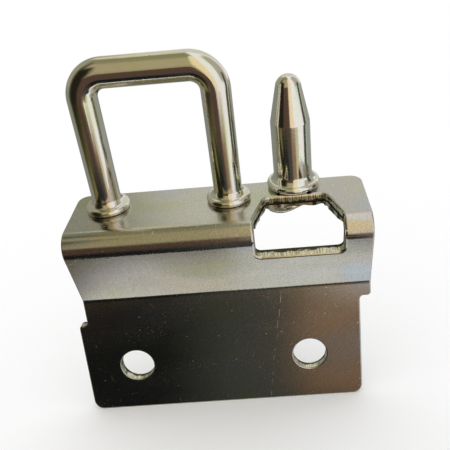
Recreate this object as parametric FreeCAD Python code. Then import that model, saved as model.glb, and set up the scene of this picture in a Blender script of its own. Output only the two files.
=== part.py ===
"""Riveted latch striker: a folded steel bracket that carries a wire loop and a guide pin.

The latch closes round the loop, and the pin enters first and centres the two halves. Both
rods stand square on the shelf of the bracket. Each has an upset collar above the sheet, a
turned-down shank through it, and a head peened over below it.

Everything is modelled square to the shelf: x to the right along the fold, y from the fold
to the back of the shelf, z up from the top of the shelf. At the end all of it is turned and
moved so that the flange stands upright and the origin is midway between its bolt holes.
"""
import os
import FreeCAD, Part
from FreeCAD import Vector, Rotation, Placement
from math import atan2, cos, pi, radians, sin, sqrt, tan

# Sheet and folds
sheet = 3.0                  # thickness of the bracket's sheet
fold_inside_radius = 2.0     # inside radius of the fold between shelf and face
crease_inside_radius = 3.0   # inside radius of the shallow fold between face and flange
face_lean = 13.4             # degrees that the face leans in under the shelf, past square
crease_turn = 25.6           # degrees that the flange turns back outwards from the face
shelf_depth = 25.2           # from the front of the fold to the back edge of the shelf
face_height = 18.2           # along the face, from the fold's end to the line of the crease
flange_height = 37.5         # along the flange, from the line of the crease to its lower edge

# Outline of the bracket
flange_shift = 2.6           # how far the flange starts to the left of the shelf
flange_inset = 3.2           # how far it ends to the left of the shelf's right edge
left_notch_drop = 8.1        # from the crease line down to the flange's left shoulder
right_step_drop = 4.4        # from the crease line down to the face's right corner
shelf_corner_radius = 3.5    # back corners of the shelf
flange_corner_radius = 3.0   # lower corners of the flange
shoulder_radius = 1.0        # outer corners of the shoulder and of the step
notch_radius = 1.2           # inner corners beside the shoulder and the step
edge_break = 0.3             # how far the press tool pulls down the edges of the outer side

# Bolt holes in the flange
bolt_hole_diameter = 10.0
bolt_spacing = 52.5
bolt_line_height = 14.9      # from the flange's lower edge up to the holes

# Wire loop
wire_diameter = 8.0
loop_left_margin = 10.5      # from the shelf's left edge to the axis of the left leg
loop_spacing = 34.8          # between the axes of the legs
loop_inset = 8.5             # from the back edge of the shelf to the axes of the legs
loop_height = 43.2           # from the shelf to the top of the loop
loop_bend_radius = 6.6       # of the wire's axis at the two corners
loop_collar_diameter = 12.6
loop_collar_thickness = 2.0
loop_flare_height = 3.8      # from the shelf to where the flare has run out into the wire
loop_shank_diameter = 6.0
loop_head_diameter = 9.4
loop_head_height = 1.8

# Guide pin
pin_diameter = 11.0
loop_to_pin = 18.8           # from the axis of the loop's right leg to the pin's axis
pin_right_margin = 19.9      # from the pin's axis to the shelf's right edge
pin_inset = 2.8              # from the back edge of the shelf to the pin's axis
pin_height = 33.0            # from the shelf to the tip
pin_shoulder = 19.9          # from the shelf to the lower end of the taper
pin_nose_radius = 3.5
pin_collar_diameter = 15.2
pin_collar_thickness = 2.2
pin_flare_height = 4.5
pin_shank_diameter = 8.0
pin_head_diameter = 11.8
pin_head_height = 3.2
pin_head_tilt = 9.0          # degrees that the peened face is out of square

# Window in front of the pin, and the lug behind it that carries the pin's collar
window_collar_gap = 0.45     # from the loop's right collar to the window
window_taper = 3.25          # how much each side closes in towards the back of the shelf
window_strip = 6.7           # from the window's back edge to the pin's axis
window_drop = 4.7            # along the face, from the fold's end to its lower edge
window_corner_radius = 1.6
lug_margin = 0.2             # how far the lug reaches past the pin's collar
lug_fillet = 2.0

# Collars, peened heads and fits
collar_bevel = 0.7           # bevel round both edges of a collar
head_bevel = 1.2             # bevel round the peened face of a head
rivet_gap = 0.05             # between a shank and its hole, on the radius

# Worked out from the sizes above
fold_outside_radius = fold_inside_radius + sheet
fold_turn = 90.0 + face_lean
flange_lean = crease_turn - face_lean
crease_setback = crease_inside_radius * tan(radians(crease_turn / 2))
loop_right = loop_left_margin + loop_spacing
loop_back = shelf_depth - loop_inset
pin_x = loop_right + loop_to_pin
pin_back = shelf_depth - pin_inset
shelf_width = pin_x + pin_right_margin
flange_left = -flange_shift
flange_right = shelf_width - flange_inset
hole_center_x = (flange_left + flange_right) / 2
bolt_line_drop = flange_height - bolt_line_height
window_half = loop_to_pin - loop_collar_diameter / 2 - window_collar_gap
window_half_back = window_half - window_taper
window_back = pin_back - window_strip
lug_radius = pin_collar_diameter / 2 + lug_margin
past = 10.0                  # how far a cutting tool reaches past what it cuts


def wire_of(start, steps, lift, closed=True):
    """A wire: each step is (end,) for a straight edge or (middle, end) for an arc."""
    edges = []
    here = start
    for step in steps + ([(start,)] if closed else []):
        end = step[-1]
        if len(step) == 2:
            edges.append(Part.Arc(lift(*here), lift(*step[0]), lift(*end)).toShape())
        elif lift(*end).distanceToPoint(lift(*here)) > 1e-7:
            edges.append(Part.makeLine(lift(*here), lift(*end)))
        here = end
    return Part.Wire(edges)


def in_side_view(y, z):
    return Vector(0, y, z)


def in_radial_view(r, z):
    return Vector(r, 0, z)


def fold_sheet():
    """The two sides of the folded sheet in side view, from the back of the shelf down.

    A flat moves the pen along, and a bend turns it about a centre on its inside. Returns the
    steps of the outer side, those of the inner side, and the frames of the flats.
    """
    flats = {}
    outer = []
    inner = []
    y, z, heading = shelf_depth, 0.0, 180.0

    def at(distance, side, turn=0.0):
        """A point on from the pen along its heading and across the sheet to the inside."""
        along = radians(heading + turn)
        across = radians(heading + turn + 90.0)
        return (y + distance * cos(along) + side * cos(across),
                z + distance * sin(along) + side * sin(across))

    def flat(name, length):
        nonlocal y, z
        flats[name] = (y, z, heading)
        outer.append((at(length, 0.0),))
        inner.append((at(length, sheet),))
        y, z = at(length, 0.0)

    def bend(turn, radius_outer):
        """Turn about a centre that lies radius_outer to the inside, negative for the outside."""
        nonlocal y, z, heading
        center = at(0.0, radius_outer)

        def on_arc(side, part):
            way = radians(heading + 90.0 + turn * part)
            reach = side - radius_outer
            return (center[0] + reach * cos(way), center[1] + reach * sin(way))

        outer.append((on_arc(0.0, 0.5), on_arc(0.0, 1.0)))
        inner.append((on_arc(sheet, 0.5), on_arc(sheet, 1.0)))
        y, z = on_arc(0.0, 1.0)
        heading += turn

    flat("shelf", shelf_depth - fold_outside_radius)
    bend(fold_turn, fold_outside_radius)
    flat("face", face_height - crease_setback)
    bend(-crease_turn, -crease_inside_radius)
    flat("flange", flange_height - crease_setback)
    return outer, inner, flats


outer_side, inner_side, flats = fold_sheet()


def crease_frame():
    """Origin on the line of the crease, x along it, y down the flange, z into the sheet."""
    y, z, heading = flats["flange"]
    along = radians(heading)
    back = crease_setback
    origin = Vector(0, y - back * cos(along), z - back * sin(along))
    down = Vector(0, cos(along), sin(along))
    right = Vector(1, 0, 0)
    return Placement(origin, Rotation(right, down, right.cross(down), "XYZ"))


def face_frame():
    """Origin at the upper end of the face, x along the fold, y down it, z into the sheet."""
    y, z, heading = flats["face"]
    along = radians(heading)
    down = Vector(0, cos(along), sin(along))
    right = Vector(1, 0, 0)
    return Placement(Vector(0, y, z), Rotation(right, down, right.cross(down), "XYZ"))


def prism(points, frame, low, high):
    """A straight prism on a polygon drawn in a frame, from low to high along its z."""
    corners = [Vector(x, y, low) for x, y in points]
    face = Part.Face(Part.makePolygon(corners + corners[:1]))
    solid = face.extrude(Vector(0, 0, high - low))
    solid.Placement = frame.multiply(solid.Placement)
    return solid


def round_edge_at(solid, point, radius):
    """Fillet the one straight edge whose middle is nearest to the point."""
    def distance(edge):
        return edge.CenterOfMass.distanceToPoint(point)

    edge = min(solid.Edges, key=distance)
    return solid.makeFillet(radius, [edge])


def folded_strip():
    """The sheet folded to its section, as wide as shelf and flange together."""
    ends = [(shelf_depth, -sheet)] + [step[-1] for step in inner_side]
    steps = list(outer_side)
    steps.append((ends[-1],))
    for index in range(len(inner_side) - 1, -1, -1):
        steps.append(inner_side[index][:-1] + (ends[index],))
    section = Part.Face(wire_of((shelf_depth, 0.0), steps, in_side_view))
    section.translate(Vector(flange_left, 0, 0))
    return section.extrude(Vector(shelf_width - flange_left, 0, 0))


def trimmed_to_outline(plate):
    """Shelf and flange are cut to their own widths, and every corner is rounded."""
    crease = crease_frame()
    reach = shelf_depth + flange_height
    over = face_height + shelf_depth + flange_height
    left_strip = prism([(flange_left - past, -over), (0, -over),
                        (0, left_notch_drop), (flange_left - past, left_notch_drop)],
                       crease, -reach, reach)
    right_strip = prism([(flange_right, right_step_drop), (shelf_width + past, right_step_drop),
                         (shelf_width + past, over), (flange_right, over)],
                        crease, -reach, reach)
    plate = plate.cut([left_strip, right_strip])

    def on_flange(x, y):
        return crease.multVec(Vector(x, y, sheet / 2))

    def on_shelf(x, y):
        return Vector(x, y, -sheet / 2)

    def within(radius, room):
        """Two corners share the room, so neither takes quite half of it."""
        return min(radius, 0.48 * room)

    corners = [
        (on_shelf(0, shelf_depth), shelf_corner_radius),
        (on_shelf(shelf_width, shelf_depth), shelf_corner_radius),
        (on_flange(0, left_notch_drop), within(notch_radius, flange_shift)),
        (on_flange(flange_left, left_notch_drop), within(shoulder_radius, flange_shift)),
        (on_flange(shelf_width, right_step_drop), within(shoulder_radius, flange_inset)),
        (on_flange(flange_right, right_step_drop), within(notch_radius, flange_inset)),
        (on_flange(flange_left, flange_height), flange_corner_radius),
        (on_flange(flange_right, flange_height), flange_corner_radius),
    ]
    for point, radius in corners:
        plate = round_edge_at(plate, point, radius)
    return plate


def with_lug(plate):
    """A half-round lug carries the pin's collar where it reaches past the shelf's back edge."""
    overhang = pin_back + lug_radius - shelf_depth
    if overhang <= 0:
        return plate
    disc = Part.makeCylinder(lug_radius, sheet, Vector(pin_x, pin_back, -sheet))
    plate = plate.fuse(disc).removeSplitter()
    half_chord = sqrt(lug_radius ** 2 - pin_inset ** 2)
    for side in (-1, 1):
        root = Vector(pin_x + side * half_chord, shelf_depth, -sheet / 2)
        plate = round_edge_at(plate, root, min(lug_fillet, overhang / 2))
    return plate


def window_punches():
    """The window is punched down through shelf and fold, and square through the face."""
    level = Placement(Vector(0, 0, 0), Rotation())
    low, high = -fold_outside_radius, past
    shelf_punch = prism([(pin_x - window_half, -past), (pin_x + window_half, -past),
                         (pin_x + window_half, fold_outside_radius),
                         (pin_x + window_half_back, window_back),
                         (pin_x - window_half_back, window_back),
                         (pin_x - window_half, fold_outside_radius)],
                        level, low, high)
    face = face_frame()
    face_punch = prism([(pin_x - window_half, low), (pin_x + window_half, low),
                        (pin_x + window_half, window_drop), (pin_x - window_half, window_drop)],
                       face, -high, -low)
    for side in (-1, 1):
        corner = Vector(pin_x + side * window_half_back, window_back, (low + high) / 2)
        shelf_punch = round_edge_at(shelf_punch, corner, window_corner_radius)
        corner = face.multVec(Vector(pin_x + side * window_half, window_drop, -(low + high) / 2))
        face_punch = round_edge_at(face_punch, corner, window_corner_radius)
    return [shelf_punch, face_punch]


def hole_punches():
    """Two holes for the loop's shanks, one for the pin's, and two for the bolts."""
    length = sheet + 2 * past
    shanks = [(loop_left_margin, loop_back, loop_shank_diameter),
              (loop_right, loop_back, loop_shank_diameter),
              (pin_x, pin_back, pin_shank_diameter)]
    punches = []
    for x, y, diameter in shanks:
        radius = diameter / 2 + rivet_gap
        punches.append(Part.makeCylinder(radius, length, Vector(x, y, -sheet - past)))
    for side in (-1, 1):
        punch = Part.makeCylinder(bolt_hole_diameter / 2, length)
        place = Vector(hole_center_x + side * bolt_spacing / 2, bolt_line_drop, -past)
        punch.Placement = crease_frame().multiply(Placement(place, Rotation()))
        punches.append(punch)
    return punches


def with_broken_edges(plate):
    """Bevel every edge of the outer side, where the press tool pulls the sheet down."""
    profile = wire_of((shelf_depth, 0.0), outer_side, in_side_view, closed=False)
    profile.translate(Vector(flange_left - past, 0, 0))
    skin = profile.extrude(Vector(shelf_width - flange_left + 2 * past, 0, 0))

    def is_outer(face):
        points = face.tessellate(1.0)[0]
        return max(skin.distToShape(Part.Vertex(point))[0] for point in points) < 1e-4

    outer_faces = [face for face in plate.Faces if is_outer(face)]
    rim = []
    for face in outer_faces:
        for edge in face.Edges:
            if sum(edge.isSame(other) for near in outer_faces for other in near.Edges) == 1:
                rim.append(edge)
    return plate.makeChamfer(edge_break, rim)


def bracket():
    """The folded sheet, trimmed to its outline and pierced."""
    plate = with_lug(trimmed_to_outline(folded_strip()))
    return with_broken_edges(plate.cut(window_punches() + hole_punches()))


def foot(rod, collar, thickness, flare, shank, head, head_height):
    """What a rod has at the sheet: flare, bevelled collar, shank and peened head."""
    rod_r = rod / 2
    rim = collar / 2
    flat_r = rim - collar_bevel
    shank_r = shank / 2
    head_r = head / 2
    under = -sheet
    bottom = under - head_height
    # The flare's arc leaves the rod along its side and ends on the collar: two cones follow it
    spread = flat_r - rod_r
    rise = flare - thickness
    flare_r = (spread ** 2 + rise ** 2) / (2 * spread)
    half_turn = atan2(rise, flare_r - spread) / 2
    flare_middle = (rod_r + flare_r - flare_r * cos(half_turn), flare - flare_r * sin(half_turn))
    steps = [
        ((head_r - head_bevel, bottom),),
        ((head_r, bottom + head_bevel),),
        ((head_r, under),),
        ((shank_r, under),),
        ((shank_r, 0.0),),
        ((flat_r, 0.0),),
        ((rim, collar_bevel),),
        ((rim, thickness - collar_bevel),),
        ((flat_r, thickness),),
        (flare_middle,),
        ((rod_r, flare),),
        ((0.0, flare),),
    ]
    profile = Part.Face(wire_of((0.0, bottom), steps, in_radial_view))
    return profile.revolve(Vector(0, 0, 0), Vector(0, 0, 1), 360)


def striker_loop():
    """A U of round wire, upset and riveted at both ends."""
    top = loop_height - wire_diameter / 2
    turn = loop_bend_radius
    skew = turn * (1 - sqrt(0.5))
    left, right, start = loop_left_margin, loop_right, loop_flare_height

    def at(x, z):
        return Vector(x, loop_back, z)

    path = Part.Wire([
        Part.makeLine(at(left, start), at(left, top - turn)),
        Part.Arc(at(left, top - turn), at(left + skew, top - skew), at(left + turn, top)).toShape(),
        Part.makeLine(at(left + turn, top), at(right - turn, top)),
        Part.Arc(at(right - turn, top), at(right - skew, top - skew), at(right, top - turn)).toShape(),
        Part.makeLine(at(right, top - turn), at(right, start)),
    ])
    circle = Part.makeCircle(wire_diameter / 2, at(left, start), Vector(0, 0, 1))
    bow = path.makePipeShell([Part.Wire(circle)], True, False)
    shapes = []
    for x in (left, right):
        base = foot(wire_diameter, loop_collar_diameter, loop_collar_thickness,
                    loop_flare_height, loop_shank_diameter, loop_head_diameter, loop_head_height)
        base.translate(Vector(x, loop_back, 0))
        shapes.append(base)
    return bow.fuse(shapes).removeSplitter()


def guide_pin():
    """A straight pin with a tapered, round-nosed tip, upset and riveted below."""
    radius = pin_diameter / 2
    nose_z = pin_height - pin_nose_radius
    # The taper is the tangent from the shoulder to the circle of the nose
    rise = nose_z - pin_shoulder
    to_center = atan2(rise, -radius)
    off_center = atan2(pin_nose_radius, sqrt(radius ** 2 + rise ** 2 - pin_nose_radius ** 2))
    touch_angle = to_center - off_center - pi / 2

    def on_nose(angle):
        return (pin_nose_radius * cos(angle), nose_z + pin_nose_radius * sin(angle))

    steps = [
        ((radius, pin_flare_height),),
        ((radius, pin_shoulder),),
        (on_nose(touch_angle),),
        (on_nose((touch_angle + pi / 2) / 2), (0.0, pin_height)),
    ]
    profile = Part.Face(wire_of((0.0, pin_flare_height), steps, in_radial_view))
    stem = profile.revolve(Vector(0, 0, 0), Vector(0, 0, 1), 360)
    base = foot(pin_diameter, pin_collar_diameter, pin_collar_thickness, pin_flare_height,
                pin_shank_diameter, pin_head_diameter, pin_head_height)
    pin = base.fuse(stem).removeSplitter()
    # The peened face is struck a little out of square, so the head is lower on the left
    side = 4 * pin_head_diameter
    slab = Part.makeBox(side, side, side, Vector(-side / 2, -side / 2, -side))
    slab.rotate(Vector(0, 0, 0), Vector(0, 1, 0), -pin_head_tilt)
    rise = pin_head_diameter / 2 * sin(radians(pin_head_tilt))
    slab.translate(Vector(0, 0, rise - sheet - pin_head_height))
    pin = pin.cut(slab)
    pin.translate(Vector(pin_x, pin_back, 0))
    return pin


def stand_on_flange(piece):
    """Turn and move a piece from the shelf's frame to the frame of the bolt holes."""
    middle = crease_frame().multVec(Vector(hole_center_x, bolt_line_drop, sheet))
    piece.translate(-middle)
    piece.rotate(Vector(0, 0, 0), Vector(1, 0, 0), flange_lean)
    return piece


nodes = {"bracket_plate": bracket, "striker_loop": striker_loop, "guide_pin": guide_pin}
os.makedirs("parts", exist_ok=True)
for name, make in nodes.items():
    piece = stand_on_flange(make())
    print(name, len(piece.Solids), "solid,", round(piece.Volume), "mm3")
    piece.exportStep("parts/" + name + ".step")
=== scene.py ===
import math

import bmesh
import bpy
from mathutils import Matrix, Vector


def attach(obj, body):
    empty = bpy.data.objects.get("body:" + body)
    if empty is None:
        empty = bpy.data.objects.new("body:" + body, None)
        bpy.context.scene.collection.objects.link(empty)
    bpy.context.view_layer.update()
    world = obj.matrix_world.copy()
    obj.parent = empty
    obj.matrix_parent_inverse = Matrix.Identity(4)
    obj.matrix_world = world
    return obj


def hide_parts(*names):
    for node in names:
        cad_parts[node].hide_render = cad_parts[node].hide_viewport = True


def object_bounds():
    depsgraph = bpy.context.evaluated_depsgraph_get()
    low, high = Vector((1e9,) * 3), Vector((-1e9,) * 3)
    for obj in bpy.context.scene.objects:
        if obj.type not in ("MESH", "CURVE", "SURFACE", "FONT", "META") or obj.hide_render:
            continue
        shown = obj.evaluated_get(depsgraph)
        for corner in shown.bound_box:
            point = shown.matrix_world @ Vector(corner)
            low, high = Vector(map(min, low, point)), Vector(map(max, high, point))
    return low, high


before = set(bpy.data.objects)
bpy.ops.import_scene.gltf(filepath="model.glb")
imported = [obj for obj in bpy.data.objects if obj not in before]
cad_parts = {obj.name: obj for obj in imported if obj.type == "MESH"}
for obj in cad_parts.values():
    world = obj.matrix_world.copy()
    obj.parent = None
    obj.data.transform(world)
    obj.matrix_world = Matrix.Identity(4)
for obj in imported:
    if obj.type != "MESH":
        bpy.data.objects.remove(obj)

# A zinc-plated latch striker: a folded bracket that carries a wire loop and a guide pin.
# The pieces are modelled square to the shelf of the bracket, in metres: x along the fold, y from
# the front of the fold to the back of the shelf, z up from the top of the shelf. Each is then
# turned and moved once, so that the flange stands upright as it does in the frame.

MM = 0.001
cad_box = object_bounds()

# Sheet and folds
SHEET = 3.0 * MM
FOLD_RADIUS = 5.0 * MM                # outside of the fold between shelf and face
FOLD_TURN = 103.4                     # degrees
CREASE_RADIUS = 3.0 * MM              # inside of the shallow fold between face and flange
CREASE_TURN = 25.6                    # degrees
FLANGE_LEAN = 12.2                    # degrees between the flange and a square to the shelf
SHELF_DEPTH = 25.2 * MM
FACE_HEIGHT = 18.2 * MM               # from the fold's end to the line of the crease
FLANGE_HEIGHT = 37.5 * MM             # from the line of the crease to the lower edge
SHELF_WIDTH = 84.0 * MM
FLANGE_LEFT = -2.6 * MM
FLANGE_RIGHT = 80.8 * MM
LEFT_NOTCH_DROP = 8.1 * MM            # from the crease line to the shoulder on the left
RIGHT_STEP_DROP = 4.4 * MM            # from the crease line to the face's right corner
SHELF_CORNER = 3.5 * MM
FLANGE_CORNER = 3.0 * MM
SHOULDER_CORNER = 1.0 * MM
NOTCH_CORNER = 1.2 * MM
DIE_ROLL = 0.4 * MM                   # how far the punch pulls the sheet down at its edges
WINDOW_ROLL = 0.8 * MM                # the same at the window, where it is larger
BURR_EDGE = 0.12 * MM                 # the edges of the side where the punch comes out

# Bolt holes in the flange
BOLT_HOLE = 10.0 * MM
BOLT_SPACING = 52.5 * MM
BOLT_LINE_DROP = 22.6 * MM            # from the crease line to the holes
BOLT_MIDDLE = (FLANGE_LEFT + FLANGE_RIGHT) / 2

# Rods on the shelf
LOOP_LEFT = 10.5 * MM
LOOP_RIGHT = 45.3 * MM
LOOP_BACK = 16.7 * MM
LOOP_TOP = 39.2 * MM                  # axis of the top bar
LOOP_BEND = 6.6 * MM
PIN_X = 64.1 * MM
PIN_BACK = 22.4 * MM
RIVET_GAP = 0.05 * MM
PIN_TIP = 33.0 * MM                   # from the shelf
PIN_SHOULDER = 19.9 * MM              # where the taper starts
SHOULDER_HALF = 0.12 * MM             # half the height over which the shoulder is softened
NOSE_RADIUS = 3.5 * MM
HEAD_TILT = 15.0                      # degrees that the pin's peened head is out of square
HEAD_SWING = 8.0 * MM                 # from the head up to the point that it tilts about

# Radii and heights of the feet: rod, collar, shank in the sheet, and head peened under it
LOOP_ROD = 4.0 * MM
LOOP_FLARE_TOP = 3.8 * MM
LOOP_COLLAR = 6.3 * MM
LOOP_COLLAR_HEIGHT = 2.0 * MM
LOOP_SHANK = 3.0 * MM
LOOP_HEAD = 4.7 * MM
LOOP_HEAD_HEIGHT = 1.8 * MM
LOOP_HEAD_RIM = 0.55 * MM             # radius of the head's rounded edge
PIN_ROD = 5.5 * MM
PIN_FLARE_TOP = 4.5 * MM
PIN_COLLAR = 7.6 * MM
PIN_COLLAR_HEIGHT = 2.2 * MM
PIN_SHANK = 4.0 * MM
PIN_HEAD = 6.8 * MM
PIN_HEAD_HEIGHT = 4.8 * MM            # at its middle
PIN_HEAD_RIM = 1.3 * MM
FIRST_RING = 2.0 * MM                 # from the flare's top up to the ring that a rod starts from
ABOVE_FLARE = 0.3 * MM                # from the flare's top up to the last ring of the rod
COLLAR_TURN = 80                      # degrees above and below level, where a collar's rim ends
NEAR_POLE = 88                        # degrees; the last ring before the middle of a dome

# Window in front of the pin, and the lug behind it
WINDOW_HALF = 12.05 * MM
WINDOW_HALF_BACK = 8.8 * MM
WINDOW_BACK = 15.7 * MM
WINDOW_DROP = 4.7 * MM
WINDOW_CORNER = 1.6 * MM
LIP_ROOT = 0.6 * MM                   # of the torn lip on the window's edge: into the sheet
LIP_REACH = 0.3 * MM                  # into the window
LIP_DROPS = (0.5 * MM, 0.4 * MM, 0.7 * MM)  # below the sheet on the left, at the back, on the right
LIP_STEP = 1.7 * MM                   # from one tooth to the next
LIP_SHAKE = 0.9                       # share of the drop by which the teeth are uneven
LIP_SEEDS = (5, 3, 8)
LIP_CUTS = 3                          # that round each tooth
LUG_RADIUS = 7.8 * MM
LUG_FILLET = 2.0 * MM

FOLD_STEPS = 32
CREASE_STEPS = 10
BEND_STEPS = 32
RING_STEPS = 96
FLARE_STEPS = 10
COLLAR_STEPS = 14
HEAD_STEPS = 8
NOSE_STEPS = 20
CORNER_STEPS = 8
WINDOW_ROLL_STEPS = 6
DIE_ROLL_STEPS = 4
BURR_STEPS = 2

PAST = 10.0 * MM                      # how far a cutting tool reaches past the sheet
HAIR = 0.001 * MM                     # what lies this close together is the same place
NEARBY = 0.1 * MM                     # smaller than any form, larger than what rounding leaves
RIM_TURN = 50                         # degrees; a rim turns by more, a seam in a bend by less
CRISP_SHEET = 30                      # degrees; sharper edges aren't shaded smooth
CRISP_ROD = 40
FACING = 0.9                          # cosine; a face turned this much one way faces that way
LENGTHWISE = 0.7                      # the same for the edges of the lip, which zigzag

RIGHT = Vector((1, 0, 0))
UP = Vector((0, 0, 1))


def select_where(piece, kind, test):
    """In edit mode, selects the vertices, edges or faces of the piece that pass the test."""
    bpy.ops.mesh.select_mode(type=kind)
    bpy.ops.mesh.select_all(action="DESELECT")
    shape = bmesh.from_edit_mesh(piece.data)
    parts = {"VERT": shape.verts, "EDGE": shape.edges, "FACE": shape.faces}[kind]
    for part in [part for part in parts if test(part)]:
        part.select_set(True)
    shape.select_flush_mode()
    bmesh.update_edit_mesh(piece.data)


def middle_of(edge):
    """The point halfway along an edge."""
    return (edge.verts[0].co + edge.verts[1].co) / 2


def named(name):
    """The object just added, under its name."""
    piece = bpy.context.object
    piece.name = name
    piece.data.name = name
    return piece


def pick(piece):
    """Selects the piece alone and makes it the active one."""
    bpy.ops.object.select_all(action="DESELECT")
    piece.select_set(True)
    bpy.context.view_layer.objects.active = piece


def apply_modifier(piece, kind, **settings):
    """Adds a modifier with its settings and applies it."""
    pick(piece)
    modifier = piece.modifiers.new(kind.title(), kind)
    for setting, value in settings.items():
        setattr(modifier, setting, value)
    bpy.ops.object.modifier_apply(modifier=modifier.name)


def smooth(piece, sharp_degrees):
    """Smooth shading that stays crisp at sharp edges and true on large flats."""
    pick(piece)
    bpy.ops.object.shade_smooth_by_angle(angle=math.radians(sharp_degrees))
    apply_modifier(piece, "WEIGHTED_NORMAL", mode="FACE_AREA", weight=50, keep_sharp=True)


def crease_line():
    """Where the planes of face and flange meet on their outer side, and the way down the flange."""
    turn = math.radians(FOLD_TURN)
    face_start = Vector((0, FOLD_RADIUS - FOLD_RADIUS * math.sin(turn),
                         -FOLD_RADIUS + FOLD_RADIUS * math.cos(turn)))
    along_face = Vector((0, -math.cos(turn), -math.sin(turn)))
    lean = math.radians(FLANGE_LEAN)
    along_flange = Vector((0, -math.sin(lean), -math.cos(lean)))
    return face_start, along_face, face_start + along_face * FACE_HEIGHT, along_flange


FACE_START, ALONG_FACE, CREASE, ALONG_FLANGE = crease_line()
INTO_FACE = Vector((0, -ALONG_FACE.z, ALONG_FACE.y))
INTO_FLANGE = Vector((0, -ALONG_FLANGE.z, ALONG_FLANGE.y))
CREASE_SETBACK = CREASE_RADIUS * math.tan(math.radians(CREASE_TURN / 2))
CREASE_MIDDLE = CREASE - ALONG_FACE * CREASE_SETBACK - INTO_FACE * CREASE_RADIUS


def stand_on_flange(piece):
    """Turns and moves a finished piece from the shelf's frame to the frame of the bolt holes."""
    bolts = CREASE + ALONG_FLANGE * BOLT_LINE_DROP + INTO_FLANGE * SHEET
    turn = Matrix.Rotation(math.radians(FLANGE_LEAN), 4, "X")
    pick(piece)
    piece.matrix_world = turn @ Matrix.Translation((-BOLT_MIDDLE, -bolts.y, -bolts.z))
    bpy.ops.object.transform_apply(location=True, rotation=True, scale=True)


def depth_in_sheet(point):
    """How far a point of the bracket lies below the outer side of the folded sheet."""
    deepest = SHEET * 1.5             # as deep as the torn lip hangs
    place = Vector((0, point.y, point.z))
    from_fold = place - Vector((0, FOLD_RADIUS, -FOLD_RADIUS))
    turned = math.degrees(math.atan2(-from_fold.y, from_fold.z))
    if point.y > FOLD_RADIUS and point.z > -deepest:
        return -point.z
    if 0 <= turned <= FOLD_TURN and from_fold.length > FOLD_RADIUS - deepest:
        return FOLD_RADIUS - from_fold.length
    if (place - CREASE).dot(ALONG_FACE) <= -CREASE_SETBACK:
        return (place - FACE_START).dot(INTO_FACE)
    if (place - CREASE).dot(ALONG_FLANGE) < CREASE_SETBACK:
        return (place - CREASE_MIDDLE).length - CREASE_RADIUS
    return (place - CREASE).dot(INTO_FLANGE)


def extrude_by(step):
    """Extrudes what is selected by a step."""
    bpy.ops.mesh.extrude_region_move(TRANSFORM_OT_translate={"value": step})


def folded_strip():
    """A strip of sheet as wide as shelf and flange together, drawn out flat by flat and bend by bend."""
    depth = SHELF_DEPTH - FOLD_RADIUS
    width = SHELF_WIDTH - FLANGE_LEFT
    bpy.ops.mesh.primitive_cube_add(
        size=1, location=(FLANGE_LEFT + width / 2, FOLD_RADIUS + depth / 2, -SHEET / 2),
        scale=(width, depth, SHEET))
    strip = named("bracket")
    bpy.ops.object.transform_apply(location=True, rotation=True, scale=True)
    bpy.ops.object.mode_set(mode="EDIT")
    select_where(strip, "FACE", lambda face: face.normal.y < -FACING)
    bpy.ops.mesh.spin(steps=FOLD_STEPS, angle=-math.radians(FOLD_TURN), axis=(1, 0, 0),
                      center=(0, FOLD_RADIUS, -FOLD_RADIUS), use_auto_merge=False)
    extrude_by(ALONG_FACE * (FACE_HEIGHT - CREASE_SETBACK))
    bpy.ops.mesh.spin(steps=CREASE_STEPS, angle=math.radians(CREASE_TURN), axis=(1, 0, 0),
                      center=CREASE_MIDDLE, use_auto_merge=False)
    extrude_by(ALONG_FLANGE * (FLANGE_HEIGHT - CREASE_SETBACK))
    bpy.ops.object.mode_set(mode="OBJECT")
    return strip


def frame_of(origin, x_way, y_way, z_way):
    """A frame from its origin and the ways of its three axes."""
    columns = Matrix((x_way, y_way, z_way)).transposed()
    return Matrix.Translation(origin) @ columns.to_4x4()


# On face and flange, x runs along the fold, y down the sheet and z into it.
LEVEL = Matrix.Identity(4)
FACE_FRAME = frame_of(FACE_START, RIGHT, ALONG_FACE, INTO_FACE)
FLANGE_FRAME = frame_of(CREASE, RIGHT, ALONG_FLANGE, INTO_FLANGE)


def block(low, high, place):
    """A block from corner to corner in a frame, with its place in its mesh."""
    size = Vector(high) - Vector(low)
    middle = (Vector(high) + Vector(low)) / 2
    bpy.ops.mesh.primitive_cube_add(size=1)
    tool = named("tool")
    tool.matrix_world = place @ Matrix.Translation(middle) @ Matrix.Diagonal((*size, 1))
    bpy.ops.object.transform_apply(location=True, rotation=True, scale=True)
    return tool


def round_bar(radius, low, high, place):
    """A round bar along the z of a frame, with its place in its mesh."""
    bpy.ops.mesh.primitive_cylinder_add(vertices=RING_STEPS, radius=radius, depth=high - low,
                                        end_fill_type="NGON")
    tool = named("tool")
    tool.matrix_world = place @ Matrix.Translation((0, 0, (low + high) / 2))
    bpy.ops.object.transform_apply(location=True, rotation=True, scale=True)
    return tool


def combine(piece, tool, operation):
    """Joins the tool to the piece or cuts it away, and takes the tool off the scene."""
    apply_modifier(piece, "BOOLEAN", object=tool, operation=operation, solver="EXACT")
    apply_modifier(piece, "WELD", merge_threshold=2 * HAIR)
    bpy.data.objects.remove(tool)


def round_corners(piece, points, radius):
    """Rounds the edges that run through the sheet at these points."""
    pick(piece)
    bpy.ops.object.mode_set(mode="EDIT")
    select_where(piece, "EDGE", lambda edge: any(
        (middle_of(edge) - point).length < 2 * NEARBY for point in points))
    bpy.ops.mesh.bevel(offset=radius, segments=CORNER_STEPS, affect="EDGES", clamp_overlap=False)
    bpy.ops.object.mode_set(mode="OBJECT")


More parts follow.
